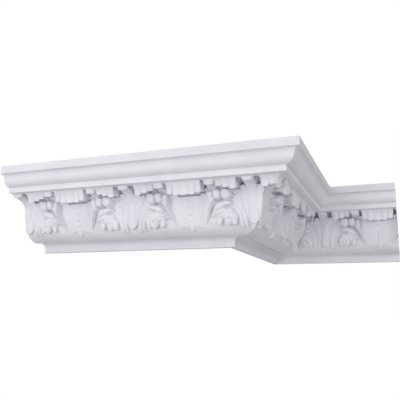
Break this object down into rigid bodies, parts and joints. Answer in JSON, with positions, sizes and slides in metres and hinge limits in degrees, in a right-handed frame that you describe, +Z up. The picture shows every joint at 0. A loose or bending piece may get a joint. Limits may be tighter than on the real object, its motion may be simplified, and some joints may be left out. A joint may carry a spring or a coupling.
{
  "type": "cornice moulding section",
  "caption": "Acanthus leaf cornice moulding with bead strings, stepped fascias and ovolo, mitred round a wall break with an outside and an inside corner.",
  "frame": {"origin": "centre of the plan outline, on the level of the underside", "axes": "+Z up to the ceiling, +X along the front and rear lengths to the right, +Y into the wall"},
  "size_m": [0.7944, 0.5904, 0.17],
  "materials": {
    "plaster": "cast gypsum plaster, matt white paint"
  },
  "bodies": {
    "root": {"front_length": "plaster", "return_length": "plaster", "rear_length": "plaster"}
  },
  "joints": []
}
